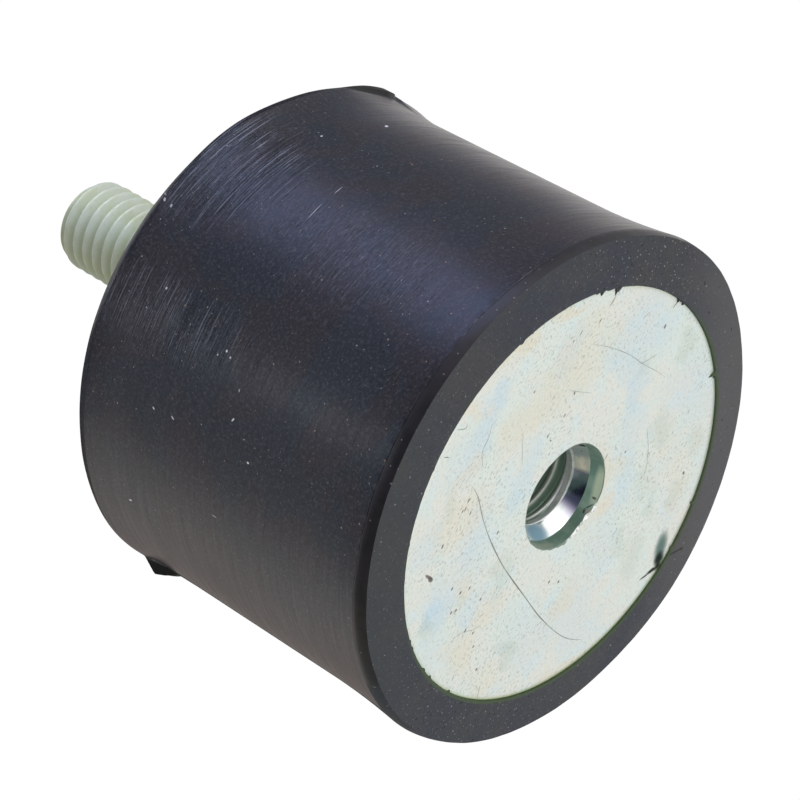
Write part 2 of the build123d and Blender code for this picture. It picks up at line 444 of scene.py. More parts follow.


# black moulded rubber: fine lines round the body, scuffs where it was rubbed with painted glints on their
# pale lines and painted shade in their dark ones, dust, and a few pits painted dark as shade
def makeSideRubber():
    t = Tree("rubberSide")
    radius = rubber["bodyRadius"]
    flat = t.unrolled(radius)
    lines = t.noise(t.spun(0, (0.035, 0.035, 1.0)), 3.2, 4.0, 0.62)
    fine = t.noise(t.spun(0, (0.1, 0.1, 1.0)), 9.0, 3.0, 0.6)
    short = t.noise(t.spun(0, (0.11, 0.11, 1.9)), 3.0, 3.0, 0.65)
    blotch = t.noise(t.place, 0.15, 2.0, 0.55, 0.6)
    grain = t.noise(t.place, 2.4, 2.0, 0.6)
    t.tone = t.mix(t.step(blotch, 0.42, 0.58), (0.0158, 0.0198, 0.0285), (0.0228, 0.0192, 0.0248))
    t.over((0.032, 0.034, 0.042), t.step(grain, 0.52, 0.7), 0.3)
    # browner towards the gate's side: a painted warm reflection
    t.over((0.03, 0.024, 0.021), t.step(t.towards(-12, radius), 0.78, 1.0), 0.75)
    gritty = t.noise(t.place, 3.6, 2.0, 0.6)
    t.over((0.056, 0.056, 0.062), t.step(gritty, 0.52, 0.66), 0.55)
    t.over((0.009, 0.009, 0.011), t.step(gritty, 0.45, 0.34), 0.55)

    # scuffs in three places where the highlights fall: long pale and dark lines by the rear edge, broken ones
    # below, and short dashes by the face; the pale lines are painted glints, the dark ones painted shade in
    # the grooves
    place, drawn = t.bent(flat, 0.25, 2.0), t.bent(flat, 0.5, 0.12)
    rear = t.oval(-51.8, 4.5, 8.5, 9.5, 0, 0.2, place)
    middle = t.oval(-36.0, 9.0, 5.0, 16.0, 0, 0.1, place)
    front = t.oval(-49.5, 23.0, 7.0, 13.0, 0, 0.1, place)
    longLines = t.noise(t.spun(0, (0.12, 6.0, 1), drawn), 1.0, 3.0, 0.62)
    dashes = t.noise(t.spun(0, (0.8, 8.5, 1), drawn), 1.0, 2.0, 0.6)
    pale = t.times(t.step(longLines, 0.58, 0.64), t.plus(rear, t.sum(middle, 0.4, front, 0.15)))
    where = t.plus(t.sum(front, 0.5, rear, 0.45, middle, 0.45), 0.03)
    pale = t.most(pale, t.times(t.step(dashes, 0.6, 0.68), where))
    # painted glints: the pale scratch lines
    t.over((0.23, 0.25, 0.3), pale, 0.85)
    groove = t.times(t.step(longLines, 0.45, 0.4), t.plus(rear, t.sum(middle, 0.5, front, 0.2)))
    where = t.sum(front, 0.7, rear, 0.5)
    groove = t.most(groove, t.times(t.step(dashes, 0.41, 0.35), where))
    # painted shade in the scratches' grooves
    t.over((0.001, 0.001, 0.002), groove, 0.97)
    rubbed = t.most(rear, middle, front)

    # dust, some of it tan, and the single marks
    loose = t.bent(flat, 2.5, 0.25)
    here = t.plus(0.25, t.times(t.step(t.noise(flat, 0.14, 1.0), 0.42, 0.62), 0.75))
    small = t.dots(t.spun(31, source=loose), 0.9, 0.055, 0.45, 0.2)
    dust = t.most(t.dots(loose, 0.3, 0.1, 0.4, 0.2), small)
    t.over((0.4, 0.39, 0.4), dust, here, 0.75)
    tan = t.dots(t.spun(-24, source=loose), 0.36, 0.09, 0.3, 0.2)
    t.over((0.42, 0.26, 0.15), tan, 0.65)
    # pits painted dark as shade in them
    shadedPits = t.dots(t.spun(67, source=flat), 0.3, 0.14, 0.25)
    t.over((0.003, 0.003, 0.004), shadedPits, 0.8)
    for angle, height, a, b, turn, bright in sideMarks:
        colour = (0.75 * bright + 0.003, 0.73 * bright + 0.003, 0.76 * bright + 0.004)
        t.over(colour, t.patch(angle, height, a, b, turn, 0.5), 0.9)

    # torn rubber, dull and darker, the darkness partly painted shade: the gate stub, and the flash over the
    # far side of the rear edge
    height = t.node("SeparateXYZ", {0: t.place}, "Z")
    out = t.step(t.plus(t.reach(), t.times(height, 0.14)), 26.3, 26.38)
    stub = t.times(out, t.step(t.towards(-1, radius), 0.994, 0.997), t.step(height, 1.9, 2.2))
    tornAndShaded = t.most(stub, t.oval(-71.2, 0.7, 5.1, 1.6, -8, 0.78))
    # partly painted shade on the stub and the flash
    t.over((0.004, 0.005, 0.003), tornAndShaded, 0.92)

    rough = t.plus(0.27, t.sum(t.step(lines, 0.3, 0.7), 0.1, pale, 0.18, tornAndShaded, 0.4))
    worn = t.plus(0.22, t.times(rubbed, 0.9))
    rise = t.times(t.sum(lines, 0.55, fine, 0.3, short, 0.45), worn)
    rise = t.plus(rise, t.sum(grain, 0.16, pale, 0.35, groove, -0.6, dust, 0.3))
    return t.made(Roughness=rough, Normal=t.bump(rise, 0.06, 0.55), Specular_IOR_Level=0.3)


# what the face's rubber and the far side's bead share: dull grey-black with specks, and small pits painted
# dark as shade in them
def faceLook(t):
    t.flat = t.bent(t.place, 0.5, 1.5)
    soft = t.noise(t.place, 0.16, 3.0, 0.6)
    grain = t.noise(t.place, 3.1, 3.0, 0.65)
    t.tone = t.mix(t.step(soft, 0.35, 0.66), (0.026, 0.032, 0.047), (0.04, 0.041, 0.046))
    t.over((0.014, 0.015, 0.016), t.step(grain, 0.44, 0.32), 0.6)
    t.over((0.086, 0.088, 0.092), t.step(grain, 0.55, 0.7), 0.5)
    # paler and greyer on the right of the face, greenish at its lower left
    pale = t.step(t.towards(128, 23.0), 0.45, 1.0)
    t.over((0.105, 0.102, 0.104), pale, 0.6)
    t.over((0.03, 0.036, 0.038), t.step(t.towards(-50, 23.0), 0.72, 1.0), 0.5)
    right = t.times(t.oval(21.0, 4.0, 9.0, 14.0, 0, 0.1), 0.8)
    many = t.plus(0.35, t.oval(-22.0, -8.0, 9.0, 13.0, -20, 0.1), right)
    warped = t.bent(t.place, 1.4, 0.35)
    shadedPits = t.dots(warped, 0.95, 0.17, 0.42)
    small = t.dots(t.spun(28, source=warped), 2.2, 0.1, 0.45)
    pitShade = t.times(t.most(shadedPits, t.times(small, 0.7)), many, clamp=True)
    specks = t.dots(t.spun(51, source=warped), 0.62, 0.085, 0.55, 0.2)
    tiny = t.dots(t.spun(12, source=warped), 1.7, 0.075, 0.45, 0.2)
    specks = t.most(specks, t.times(tiny, many))
    # painted shade in the pits
    t.over((0.006, 0.006, 0.007), pitShade, 0.85)
    t.over((0.3, 0.3, 0.31), specks, 0.75)
    rise = t.sum(grain, 0.5, pitShade, -0.9, specks, 0.5)
    return rise


def makeFaceRubber():
    t = Tree("rubberFace")
    rise = faceLook(t)
    # the stain's streak that runs out over the rubber, a few cuts painted dark as shade in them, and a
    # greenish line at the joint by the plate, on the far side only
    for x, y, a, b, turn in (
        (-0.55, 21.85, 1.75, 0.17, 127), (-1.15, 22.75, 0.34, 0.22, 123), (24.3, -2.1, 0.75, 0.06, 45),
        (21.5, -0.6, 0.3, 0.08, 30), (21.6, 0.9, 0.22, 0.08, 40), (-21.6, 10.7, 0.3, 0.1, 60),
        (-21.6, 5.6, 0.26, 0.14, 80), (-23.6, 2.6, 0.34, 0.12, 60), (-13.9, 17.3, 0.2, 0.16, 0),
    ):
        t.over((0.006, 0.008, 0.006), t.oval(x, y, a, b, turn, 0.3, t.place), 0.9)
    reach = t.reach()
    joint = t.times(t.step(reach, 21.42, 21.2), t.step(t.towards(70, 21.0), -0.35, 0.1))
    t.over((0.05, 0.082, 0.03), joint, 0.85)
    return t.made(Roughness=0.62, Normal=t.bump(rise, 0.09, 0.6), Specular_IOR_Level=0.34)


# the bead: smooth and near black towards the camera's left, its darkness there partly painted shade where it
# faces away from the light; like the face elsewhere
def makeBeadRubber():
    t = Tree("rubberBead")
    rise = faceLook(t)
    radius = rubber["beadRadius"]
    smoothShadedSide = t.step(t.towards(-99, radius), 0.24, 0.32)
    soft = t.noise(t.place, 0.5, 3.0, 0.6)
    shadedTone = t.mix(t.step(soft, 0.35, 0.65), (0.011, 0.011, 0.013), (0.017, 0.015, 0.018))
    flat = t.unrolled(radius)
    specks = t.dots(flat, 0.55, 0.11, 0.5)
    shadedTone = t.mix(t.times(specks, 0.6), shadedTone, (0.22, 0.21, 0.2))
    # broken pale and dark dashes along the crest on the upper left, the pale ones painted glints where the
    # highlight falls
    dashes = t.noise(t.spun(0, (0.9, 2.5, 1), flat), 1.0, 2.0, 0.6)
    glintDashArea = t.oval(-53.5, 38.6, 9.0, 0.35, 0, 0.5)
    shadedTone = t.mix(t.times(glintDashArea, t.step(dashes, 0.56, 0.64), 0.7), shadedTone, (0.12, 0.125, 0.13))
    wave = t.times(t.noise(t.place, 1.6, 3.0), 0.5)
    height = t.node("Mix", {0: smoothShadedSide, 2: rise, 3: wave}, 0, {"data_type": "FLOAT"})
    rough = t.plus(0.62, t.times(smoothShadedSide, -0.28))
    # painted shade: the near-black tone on the side away from the light
    t.over(shadedTone, smoothShadedSide)
    return t.made(Roughness=rough, Normal=t.bump(height, 0.07, 0.5), Specular_IOR_Level=0.28)


body = makeRubber(rubber)
finish(body, [makeSideRubber(), makeBeadRubber(), makeFaceRubber()], "rubber", "rubber_body")


plate = {
    "columns": 720,
    "radius": 20.985,
    "top": 40.0,
    "thickness": 1.5,
    "roll": 0.4,
    "worn": 0.07,  # the face's outer edge, rounded by that much
    "holeRadius": 5.2,  # for the pattern laid round the wall
    # radius of the punched hole by angle, at the face and at its foot, where the bush begins
    "holeEdge": (
        (-180, 5.28), (-157, 5.31), (-147, 5.25), (-135, 5.15), (-117, 5.02), (-95, 5.0), (-76, 5.1),
        (-58, 5.19), (-39, 5.28), (-19, 5.32), (1, 5.41), (20, 5.41), (36, 5.38), (46, 5.37), (57, 5.2),
        (63, 5.05), (70, 4.93), (76, 4.97), (84, 4.84), (87, 5.02), (91, 5.33), (98, 5.3), (111, 5.42),
        (125, 5.38), (143, 5.32), (160, 5.3),
    ),
    "holeFoot": (
        (-150, 5.06), (-90, 5.02), (-30, 5.1), (0, 5.18), (20, 5.24), (40, 5.3), (55, 5.27), (77, 5.12),
        (94, 5.03), (109, 4.97), (123, 4.94), (134, 5.0), (150, 5.08), (167, 5.1),
    ),
    # chips of the hole's edge: angle, half width in degrees, depth
    "chips": (
        (14, 4, 0.05), (26, 5, 0.1), (38, 4, 0.14), (45, 4, 0.2), (52, 4, 0.12), (59, 4, 0.16),
        (66, 5, 0.24), (75, 4, 0.2), (82, 5, 0.3), (93, 5, 0.22), (99, 3, 0.1), (118, 4, 0.04),
        (150, 3, 0.05), (-12, 5, 0.05),
    ),
}


# A punched disc as one closed loop of rows: rolled far edge, rim, face, chipped hole edge, wall, back.
def makePlate(s):
    angles = np.linspace(-180, 180, s["columns"], endpoint=False)
    top, back, radius, roll = s["top"], s["top"] - s["thickness"], s["radius"], s["roll"]
    rows, slots = [], []

    def add(r, z, slot=0):
        rows.append((r, z))
        slots.append(slot)

    for t in np.linspace(0, 90, 5):
        around = math.radians(t)
        add(radius - roll + roll * math.sin(around), back + roll - roll * math.cos(around))
    add(radius, top - s["worn"])
    add(radius - 0.02, top - 0.02)
    add(radius - s["worn"], top)
    chip = sum(depth * hump(angles, middle, half) ** 0.4 for middle, half, depth in s["chips"])
    chip = chip * (0.85 + 0.3 * np.round(2 * waver(angles, (31, 47, 79), 21)) / 2)
    hole = stated(angles, s["holeEdge"], 1.5) + 0.008 * waver(angles, (9, 14, 33), 23)
    foot = stated(angles, s["holeFoot"], 8.0)
    mouth = hole + 0.03 + chip
    for t in np.linspace(0, 1, 26)[1:]:
        add((radius - s["worn"]) * (1 - t) + (mouth + 0.35) * t, top)
    add(mouth + 0.06, top)
    slots[-1] = 1
    add(mouth, top - 0.012, 1)
    add(hole + 0.02 + chip * 0.5, top - 0.03 - chip * 0.1, 1)
    add(hole + 0.005, top - 0.06 - chip * 0.3, 1)
    slots[-1] = 2
    start = top - 0.06 - chip * 0.3
    for t in np.linspace(0, 1, 10)[1:]:
        add(hole + (foot - hole) * t, start + (back - start) * t, 2)
    slots[-1] = 0
    return skin("socketPlate", turned(rows, angles), loop=True, crease=32, slots=np.array(slots))


# places on the plate where the plating changes tone: x, y, radius a, radius b, turn, strength
patches = {
    "blue": (
        (-16.7, -2.6, 4.6, 3.6, 10, 0.34), (-11.2, -11.2, 2.4, 1.7, 20, 0.34),
        (-18.6, 0.9, 2.4, 2.0, 0, 0.2), (-12.8, -1.6, 3.2, 1.6, 80, 0.26),
        (-11.4, 1.6, 2.6, 1.4, 30, 0.55), (-15.0, 9.9, 4.6, 3.4, 60, 0.28),
        (-4.9, -17.3, 1.7, 1.1, 20, 0.52), (-2.5, -17.0, 3.0, 1.2, 20, 0.36),
        (0.0, -15.9, 3.2, 1.3, 20, 0.34), (2.0, -17.7, 3.6, 1.7, 20, 0.24), (0.8, -7.4, 3.0, 1.6, 10, 0.34),
        (-1.5, -8.0, 2.6, 1.3, 30, 0.26), (7.0, -10.2, 3.4, 2.0, 20, 0.32), (3.2, -7.3, 1.6, 0.9, 10, 0.34),
        (10.2, -15.0, 2.4, 2.0, 20, 0.26), (15.3, -9.3, 2.2, 1.6, 30, 0.62),
        (13.6, -9.6, 3.0, 2.2, 30, 0.36), (9.0, -7.7, 3.0, 2.0, 20, 0.28), (13.6, -4.2, 2.6, 1.8, 20, 0.36),
        (13.2, 5.8, 4.4, 3.0, 70, 0.24), (10.0, 11.6, 5.0, 3.6, 80, 0.28), (17.8, -6.8, 2.2, 1.6, 30, 0.22),
        (-7.9, 4.2, 3.4, 2.0, 20, 0.3), (-4.0, 7.2, 2.8, 1.6, 30, 0.42), (2.5, 9.5, 3.6, 2.4, 40, 0.26),
        (-4.0, 17.8, 2.8, 1.6, 0, 0.2),
    ),
    "cream": (
        (-10.8, -17.3, 2.5, 0.7, 152, 0.62), (-8.6, -18.3, 1.7, 0.6, 158, 0.4),
        (-14.6, -13.8, 2.4, 0.9, 136, 0.66), (-13.3, -10.4, 3.4, 1.6, 160, 0.34),
        (-12.4, -7.2, 4.0, 2.6, 160, 0.34), (-8.8, -9.6, 3.8, 2.8, 160, 0.3),
        (-2.6, -19.6, 2.6, 0.9, 100, 0.46), (-5.7, -11.9, 4.4, 2.6, 160, 0.32),
        (2.4, -15.6, 1.9, 1.2, 160, 0.4), (7.0, -13.4, 3.4, 2.2, 150, 0.42),
        (-2.6, -12.4, 3.2, 2.0, 160, 0.26), (17.8, -2.6, 2.8, 1.7, 60, 0.46),
        (12.9, -1.4, 2.6, 1.5, 160, 0.36), (8.7, 8.9, 2.4, 1.2, 20, 0.46), (12.3, -7.1, 1.6, 1.2, 0, 0.36),
        (14.8, 14.4, 3.0, 0.9, 135, 0.55), (-5.3, 17.0, 2.2, 1.2, 60, 0.42),
        (-0.8, 6.8, 1.3, 0.8, 20, 0.55), (-4.3, 4.3, 2.2, 1.2, 130, 0.34), (18.8, 3.2, 2.6, 1.6, 100, 0.3),
        (-9.0, 12.6, 3.4, 2.2, 60, 0.24),
    ),
    "olive": (
        (-18.0, 4.8, 1.7, 1.2, 40, 0.36), (-13.7, 0.7, 1.2, 0.8, 60, 0.3),
        (16.5, -9.0, 1.5, 1.1, 40, 0.4), (15.6, 4.5, 1.6, 1.1, 60, 0.44), (9.5, -2.7, 2.2, 1.2, 20, 0.34),
        (13.3, -6.9, 1.4, 0.9, 30, 0.22), (-10.2, 8.6, 2.2, 1.2, 50, 0.4),
        (-11.0, 15.1, 1.8, 1.1, 50, 0.3), (-3.3, 13.7, 1.5, 0.9, 50, 0.38),
        (1.5, 12.3, 1.8, 1.0, 50, 0.34), (2.2, 15.8, 2.8, 1.6, 30, 0.32), (-4.8, 10.4, 2.2, 1.4, 50, 0.24),
        (-5.2, 16.9, 1.6, 0.8, 50, 0.24), (5.9, -15.2, 1.8, 1.0, 20, 0.26),
    ),
}
patchTones = {"blue": (0.47, 0.66, 0.8), "cream": (0.74, 0.64, 0.46), "olive": (0.4, 0.5, 0.41)}

# small dark spots on the plate: x, y, half length, half width, turn
plateSpots = (
    (-18.2, 0.4, 0.3, 0.17, 10), (12.3, -12.85, 0.8, 0.2, 88), (12.42, -12.45, 0.48, 0.3, 84),
    (9.3, -13.4, 0.3, 0.14, 20), (-7.6, 16.2, 0.26, 0.2, 60), (5.9, -6.8, 0.26, 0.12, 10),
    (18.0, 1.5, 0.2, 0.15, 0), (12.3, -8.7, 0.22, 0.14, 0), (12.3, -7.2, 0.2, 0.16, 0),
    (13.9, -6.4, 0.2, 0.14, 0), (14.3, -6.9, 0.24, 0.14, 0), (15.2, -3.4, 0.26, 0.12, 20),
    (15.1, -2.1, 0.22, 0.12, 0), (16.2, -0.9, 0.2, 0.12, 0), (12.0, -3.8, 0.2, 0.14, 0),
    (11.5, -6.3, 0.18, 0.12, 0), (7.3, 6.3, 0.22, 0.14, 20), (7.7, 4.9, 0.22, 0.14, 0),
    (4.6, -13.4, 0.34, 0.1, 0), (5.4, -13.2, 0.3, 0.1, 10), (5.5, -12.2, 0.26, 0.1, 10),
    (5.7, -13.4, 0.24, 0.1, 0), (-3.9, -7.5, 0.24, 0.1, 20), (-3.7, -6.7, 0.14, 0.12, 0),
    (-15.3, -9.4, 0.34, 0.07, 0), (-13.4, -11.1, 0.36, 0.07, 0), (-12.4, -11.5, 0.2, 0.08, 0),
    (-6.7, -12.9, 0.2, 0.1, 0), (-6.3, -6.8, 0.26, 0.1, 10), (18.4, -12.0, 0.16, 0.12, 0),
    (-8.5, -7.2, 0.22, 0.14, 30), (-6.4, 5.2, 0.18, 0.12, 0),
)


# zinc plating on steel: pale, greenish, with blue and yellowish patches, dark ticks and a stained place
def makeZinc(name, marked=True, rough=0.42):
    t = Tree(name)
    metal, shine = 0.45, 0.5
    t.flat = t.bent(t.place, 0.33, 4.5)
    cloud = t.noise(t.place, 0.16, 3.0, 0.55, 0.4)
    spread = t.noise(t.place, 0.35, 2.0, 0.55)
    t.tone = t.mix(t.step(cloud, 0.38, 0.62), (0.7, 0.765, 0.715), (0.735, 0.75, 0.69))
    t.over((0.66, 0.765, 0.775), t.step(spread, 0.48, 0.68), 0.6)
    # stipple: fine grey specks everywhere, drawn out a little along one rolling direction
    along = t.spun(-162, (0.62, 1.0, 1.0))
    grit = t.noise(along, 4.3, 2.0, 0.7)
    coarse = t.noise(along, 2.2, 2.0, 0.65)
    many = t.step(t.noise(t.place, 0.13, 2.0, 0.5), 0.38, 0.62)
    if marked:
        for x, y, a, b, turn in (
            (13.5, -4.0, 8.0, 5.0, 20), (-13.0, -9.0, 8.0, 4.0, 150), (4.0, -13.0, 7.0, 4.0, 60),
        ):
            many = t.most(many, t.oval(x, y, a, b, turn, 0.2))
        for kind, places in patches.items():
            for x, y, a, b, turn, strength in places:
                t.over(patchTones[kind], t.oval(x, y, a * 1.35, b * 1.35, turn, 0.0), 0.7 * strength)
    t.over((0.36, 0.39, 0.34), t.step(grit, 0.54, 0.7), t.plus(0.4, t.times(many, 0.35)))
    t.over((0.86, 0.89, 0.84), t.step(grit, 0.44, 0.32), 0.35)
    ticks = t.times(t.step(coarse, 0.635, 0.68), t.plus(0.2, t.times(many, 0.8)))
    t.over((0.22, 0.23, 0.18), ticks, 0.46)
    t.over((0.22, 0.21, 0.17), t.dots(t.bent(along, 2.0, 0.3), 1.6, 0.12, 0.35), many, 0.32)
    if marked:
        # a yellow-green line round the plate's edge, strongest at the lower right
        reach = t.reach()
        strong = t.plus(0.2, t.times(t.step(t.towards(45, 21.0), 0.5, 1.0), 0.55))
        t.over((0.5, 0.62, 0.28), t.step(reach, 20.6, 20.92), strong)
        for x, y, a, b, turn in plateSpots:
            t.over((0.085, 0.06, 0.05), t.oval(x, y, a, b, turn, 0.5, t.place), 0.85)
        # the green-black stain at the plate's edge, with its tail
        loose = t.bent(t.place, 1.2, 0.25)
        t.over((0.055, 0.135, 0.115), t.oval(-0.35, 19.35, 2.2, 1.15, 28, 0.0, loose), 0.95)
        stain = t.most(
            t.oval(0.8, 20.15, 1.25, 0.9, 35, 0.2, loose),
            t.oval(1.35, 20.55, 0.8, 0.6, 0, 0.2, loose),
            t.oval(2.05, 20.1, 1.15, 0.34, -42, 0.3, loose),
            t.oval(2.95, 19.45, 0.9, 0.15, -38, 0.2, loose),
            t.times(t.oval(-17.4, -9.2, 0.75, 0.16, 0, 0.1, t.place), 0.5),
        )
        t.over((0.006, 0.015, 0.01), stain, 0.97)
        metal, shine = t.plus(0.45, t.times(stain, -0.45)), t.plus(0.5, t.times(stain, -0.48))
        # yellowed round the hole
        ring = t.times(t.step(reach, 6.9, 5.4), t.step(t.towards(120, 6.0), 0.2, 0.9))
        t.over((0.72, 0.66, 0.5), ring, 0.35)
    rise = t.sum(grit, 0.6, coarse, -0.5, cloud, 0.4)
    sockets = {"Metallic": metal, "Roughness": rough, "Specular_IOR_Level": shine}
    return t.made(Normal=t.bump(rise, 0.05, 0.4), **sockets)


# the hole's edge: where it is chipped, at the lower right, painted bright as highlights on the chips, and a
# dark line elsewhere
def makeTornEdge():
    t = Tree("tornEdge")
    # painted highlights on the chipped edge
    bright = t.oval(1.4, 5.0, 2.8, 1.5, -16, 0.6)
    grain = t.noise(t.place, 3.0, 2.0, 0.6)
    t.tone = t.mix(t.step(grain, 0.4, 0.6), (0.92, 0.93, 0.92), (0.42, 0.42, 0.42))
    t.tone = t.mix(bright, (0.22, 0.28, 0.24), t.tone)
    return t.made(Metallic=0.6, Roughness=0.34, Normal=t.bump(grain, 0.05, 0.4))


# the punched wall: grey-green, paler in a strip under its right edge, with a few drag lines
def makePunchedWall():
    t = Tree("punchedWall")
    flat = t.unrolled(plate["holeRadius"])
    soft = t.noise(t.place, 0.7, 3.0, 0.6)
    drag = t.noise(t.spun(0, (3.2, 0.5, 1), flat), 1.0, 2.0, 0.6)
    t.tone = t.mix(t.step(soft, 0.38, 0.64), (0.22, 0.36, 0.29), (0.33, 0.46, 0.38))
    t.over((0.32, 0.42, 0.36), t.step(drag, 0.58, 0.68), 0.2)
    t.over((0.72, 0.82, 0.62), t.patch(118, 39.7, 2.6, 0.75, 0, 0.3), 0.85)
    t.over((0.66, 0.68, 0.52), t.patch(12, 39.5, 2.6, 0.8, 0, 0.3), 0.5)
    for mark in ((103, 39.6, 0.16, 0.3, 0), (93, 39.5, 0.6, 0.1, 35), (86, 39.4, 0.35, 0.16, -30)):
        t.over((0.02, 0.03, 0.022), t.patch(*mark, 0.4), 0.8)
    t.over((0.5, 0.44, 0.41), t.patch(88, 39.7, 0.36, 0.22, 20, 0.5))
    return t.made(Metallic=0.5, Roughness=0.42, Normal=t.bump(t.plus(soft, drag), 0.04, 0.3))


socketPlate = makePlate(plate)
finish(socketPlate, [makeZinc("zincFace"), makeTornEdge(), makePunchedWall()], "plate_zinc", "socket_plate")


thread = {"pitch": 1.5, "major": 5.0, "core": 4.25, "coreOutside": 4.08}


# how far a thread stands at each height and angle, 0 in the groove and 1 on the crest: a saw of 60 degrees
# with flats, moved along the axis by one pitch a turn, right-handed
def threadForm(height, angles, crestShare, grooveShare):
    phase = (height / thread["pitch"] - angles / 360) % 1
    away = np.abs(phase - 0.5) * 2  # 0 in the middle of the crest, 1 in the middle of the groove
    slope = np.clip((away - crestShare) / (1 - grooveShare - crestShare), 0, 1)
    return 1 - 0.5 * slope - 0.5 * ease(away, crestShare, 1 - grooveShare)


bush = {
    "columns": 360,
    "top": 38.5,
    "coneMiddle": 4.8,  # radius, for the pattern laid round the cone
    "coneEnd": 36.95,
    "coneSlant": 0.1,  # the cone is cut slightly aslant
    "coneRadius": 4.3,  # at its end
    "boreStart": 37.1,  # from here down the rows are closer and of the bore's material
    "threadStart": (0.55, 0.85),  # depths below the cone between which the thread grows
    "threadShift": 0.45,
    "threadEnd": 29.5,
    "drillRadius": 0.4,
    "drillDepth": 2.3,
}


# The bush: outside, then the lead-in cone and the threaded bore down to the drill point.
# The cone narrows evenly from the hole's foot to the thread's core. Bore radius = core + thread depth * form,
# and the form grows from nothing over the first turn below the cone.
def makeBush(s):
    angles = np.linspace(-180, 180, s["columns"], endpoint=False)
    outer, chamfer, top = rubber["bushRadius"], rubber["bushChamfer"], s["top"]
    bore, narrow = s["boreStart"], s["coneRadius"]
    mouth = stated(angles, plate["holeFoot"], 8.0) - 0.03
    rows = [(outer - chamfer, bushEnd), (outer, bushEnd + chamfer), (outer, top), (mouth + 0.1, top)]
    slots = [0, 0, 0, 0]
    start = s["coneEnd"] + s["coneSlant"] * np.cos(np.radians(angles - 40))
    for height in np.concatenate([np.linspace(top, bore, 10), np.linspace(bore, s["threadEnd"], 160)[1:]]):
        share = np.clip((height - start) / (top - start), 0, 1)
        grown = ease(start - height, *s["threadStart"])
        form = threadForm(height - s["threadShift"], angles, 0.12, 0.16)
        deep = (thread["major"] - thread["core"]) * (1 - form) * grown
        radius = narrow + (mouth - narrow) * share + deep - 0.05 * (share <= 0)
        rows.append((radius, np.full(angles.shape, height)))
        slots.append(0 if height > bore else 1)
    rows.append((thread["core"], s["threadEnd"] - 0.02))
    rows.append((s["drillRadius"], s["threadEnd"] - s["drillDepth"]))
    slots += [1, 1]
    return skin("threadedBush", turned(rows, angles), crease=40, slots=np.array(slots[:-1]))


# the lead-in cone: bright turned steel, with painted reflections in blue, cream and navy stretches round it,
# and painted highlight streaks on the cream
def makeMouthSteel():
    t = Tree("mouthSteel")
    flat = t.unrolled(bush["coneMiddle"])
    rings = t.noise(t.spun(0, (0.25, 0.25, 9.0)), 1.0, 2.0, 0.5)
    mottle = t.noise(t.place, 0.5, 2.0, 0.5)
    t.tone = t.mix(t.step(mottle, 0.4, 0.65), (0.76, 0.79, 0.79), (0.66, 0.7, 0.66))
    # a painted blue reflection
    blue = t.patch(25, 37.9, 1.7, 1.3, 0, 0.3)
    t.over((0.22, 0.4, 0.54), blue, 0.9)
    # a painted cream reflection above, made dull, with painted highlight streaks, and a painted navy
    # reflection below it
    cream = t.patch(146, 37.8, 2.0, 2.6, 0, 0.7)
    highlightStreaks = t.step(t.noise(t.spun(0, (0.5, 2.0, 1), flat), 1.0, 2.0), 0.4, 0.62)
    highlightStreaks = t.plus(0.55, t.times(highlightStreaks, 0.45))
    lit = t.times(highlightStreaks, t.patch(135, 37.8, 1.4, 2.6, 0, 0.1))
    t.over(t.mix(lit, (0.3, 0.35, 0.33), (0.74, 0.7, 0.55)), cream)
    t.over((0.05, 0.08, 0.07), t.patch(157, 37.9, 0.1, 0.09, 0, 0.4))
    navyReflection = t.patch(113, 37.8, 1.6, 2.6, 0, 0.6)
    t.over((0.1, 0.11, 0.16), navyReflection, 0.85)
    metal = t.plus(1.0, t.times(t.most(cream, t.times(blue, 0.7)), -0.8))
    dull = t.plus(0.12, t.times(t.most(cream, blue), 0.35))
    return t.made(Metallic=metal, Roughness=dull, Normal=t.bump(rings, 0.015, 0.3))


# the bore: the cone's last bit, pale on the thread's crests, with painted shade: dark green in its grooves
# and darker deeper down
def makeThreadSteel():
    t = Tree("threadSteel")
    mottle = t.noise(t.place, 0.8, 3.0, 0.65)
    t.tone = t.mix(t.step(mottle, 0.38, 0.66), (0.78, 0.79, 0.8), (0.58, 0.62, 0.59))
    height = t.node("SeparateXYZ", {0: t.place}, "Z")
    # painted shade, darker deeper down the bore
    t.over((0.34, 0.34, 0.28), t.step(height, 36.25, 35.9), 0.7)
    # painted shade, dark green in the grooves near the top
    groove = t.times(t.step(t.reach(), 4.33, 4.5), t.step(height, 37.0, 36.7))
    t.over((0.27, 0.38, 0.3), groove)
    return t.made(Metallic=0.5, Roughness=0.3, Normal=t.bump(mottle, 0.04, 0.3))


threadedBush = makeBush(bush)
finish(threadedBush, [makeMouthSteel(), makeThreadSteel()], "bush_zinc", "threaded_bush")


stud = {
    "columns": 240,
    "length": 28.0,
    "tipDrop": 0.95,
    "tipLength": 1.7,
    "crestLoss": 0.12,  # how far the rolled crests stay inside the full radius, and the tip's start
    "tipLoss": 0.1,
    "runOut": 2.2,
    "neck": 5.5,
    "aside": -0.16,
}


